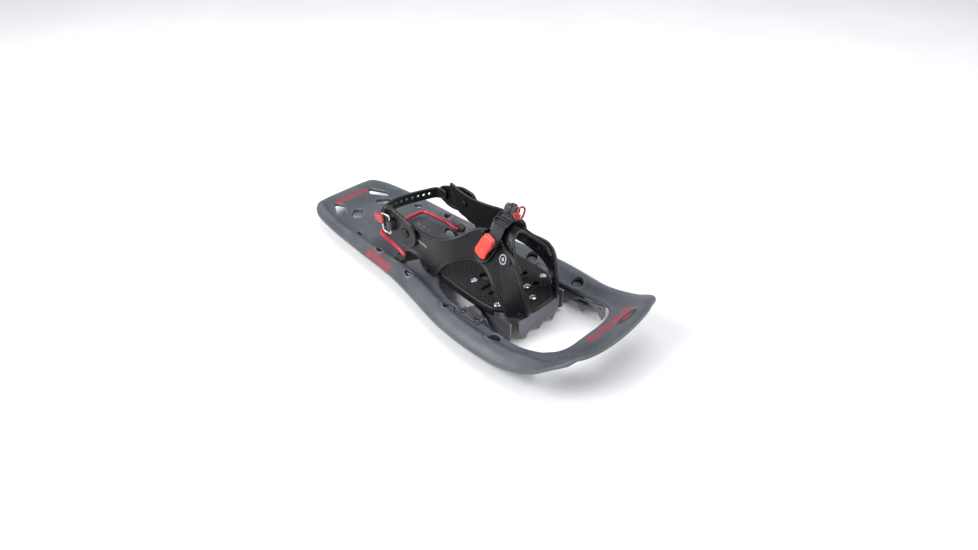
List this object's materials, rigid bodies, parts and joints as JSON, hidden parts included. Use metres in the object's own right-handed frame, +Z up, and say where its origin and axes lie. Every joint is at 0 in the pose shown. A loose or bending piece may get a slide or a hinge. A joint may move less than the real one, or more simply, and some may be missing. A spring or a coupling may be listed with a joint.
{
  "type": "snowshoe",
  "caption": "Moulded snowshoe with an open toe, steel traction rails, a pivoting toe binding with crampon, heel strap loop, fold-up heel lift and cam-lever instep strap.",
  "frame": {"origin": "centre of the bounding box in plan, at the level of the tooth tips", "axes": "+X towards the toe, +Y to the wearer's left, +Z up"},
  "size_m": [0.56, 0.2122, 0.1636],
  "materials": {
    "deck_plastic": "moulded, satin, mid grey",
    "black_plastic": "moulded, satin, black",
    "dark_steel": "dark grey coated sheet steel",
    "bright_steel": "plated, bright",
    "red_wire": "red coated wire",
    "footbed_plastic": "moulded, fine ribbed, near black",
    "binding_plastic": "flexible moulded plastic, charcoal",
    "strap_rubber": "moulded rubber strap, black",
    "red_plastic": "moulded, red orange",
    "red_textile": "red cord and folded tape",
    "grey_webbing": "woven webbing, dark grey"
  },
  "bodies": {
    "deck": {"deck": "deck_plastic", "pivot_axle": "dark_steel", "right_traction_rail": "dark_steel", "right_deck_bolt_1": "deck_plastic", "right_deck_bolt_2": "black_plastic", "right_axle_bracket": "dark_steel", "right_bracket_rivet_1": "bright_steel", "right_bracket_rivet_2": "bright_steel", "right_bail_clip": "black_plastic", "left_traction_rail": "dark_steel", "left_deck_bolt_1": "deck_plastic", "left_deck_bolt_2": "deck_plastic", "left_axle_bracket": "dark_steel", "left_bracket_rivet_1": "bright_steel", "left_bracket_rivet_2": "bright_steel", "left_bail_clip": "black_plastic"},
    "heel_lift": {"heel_lift_bail": "red_wire"},
    "binding": {"footbed": "footbed_plastic", "toe_crampon": "dark_steel", "toe_hood": "binding_plastic", "cam_base": "black_plastic", "cam_pin": "bright_steel", "cam_base_rivet": "bright_steel", "instep_webbing": "grey_webbing", "ladder_lock": "black_plastic", "webbing_roll": "grey_webbing", "pull_cord": "red_textile", "footbed_rivet_1": "bright_steel", "footbed_rivet_2": "bright_steel", "footbed_rivet_3": "bright_steel", "footbed_rivet_4": "bright_steel", "footbed_rivet_5": "bright_steel", "footbed_rivet_6": "bright_steel", "footbed_rivet_7": "bright_steel", "right_pivot_bush": "black_plastic", "right_wing_rivet_1": "black_plastic", "right_wing_rivet_2": "black_plastic", "right_hood_rivet": "black_plastic", "right_wing": "binding_plastic", "right_arm_rivet": "black_plastic", "left_pivot_bush": "black_plastic", "left_wing_rivet_1": "black_plastic", "left_wing_rivet_2": "black_plastic", "left_hood_rivet": "black_plastic", "left_wing": "binding_plastic", "left_arm_rivet": "black_plastic"},
    "heel_loop": {"right_heel_arm": "binding_plastic", "left_heel_arm": "binding_plastic", "heel_strap": "strap_rubber", "strap_rivet_1": "black_plastic", "strap_rivet_2": "black_plastic"},
    "heel_buckle": {"heel_buckle_frame": "bright_steel", "heel_pull_tab": "red_textile"},
    "cam": {"cam_lever": "red_plastic"}
  },
  "joints": [
    {"name": "heel_lift_hinge", "type": "hinge", "parent": "deck", "child": "heel_lift", "pos_m": [-0.0555, 0, 0.0315], "axis": [0, 1, 0], "range_deg": [0, 90], "deforming": ["heel_strap"]},
    {"name": "toe_pivot", "type": "hinge", "parent": "deck", "child": "binding", "pos_m": [0.1025, 0, 0.028], "axis": [0, 1, 0], "range_deg": [0, 60]},
    {"name": "heel_loop_pivot", "type": "hinge", "parent": "binding", "child": "heel_loop", "pos_m": [-0.0345, 0, 0.085], "axis": [0, 1, 0], "range_deg": [0, 60]},
    {"name": "heel_buckle_hinge", "type": "hinge", "parent": "heel_loop", "child": "heel_buckle", "pos_m": [-0.0605, -0.0618, 0.088], "axis": [0, 0, 1], "range_deg": [0, 100]},
    {"name": "cam_lever_hinge", "type": "hinge", "parent": "binding", "child": "cam", "pos_m": [0.10232, -0.03135, 0.12821], "axis": [-0.9233, 0.0459, 0.3814], "range_deg": [0, 75]}
  ]
}
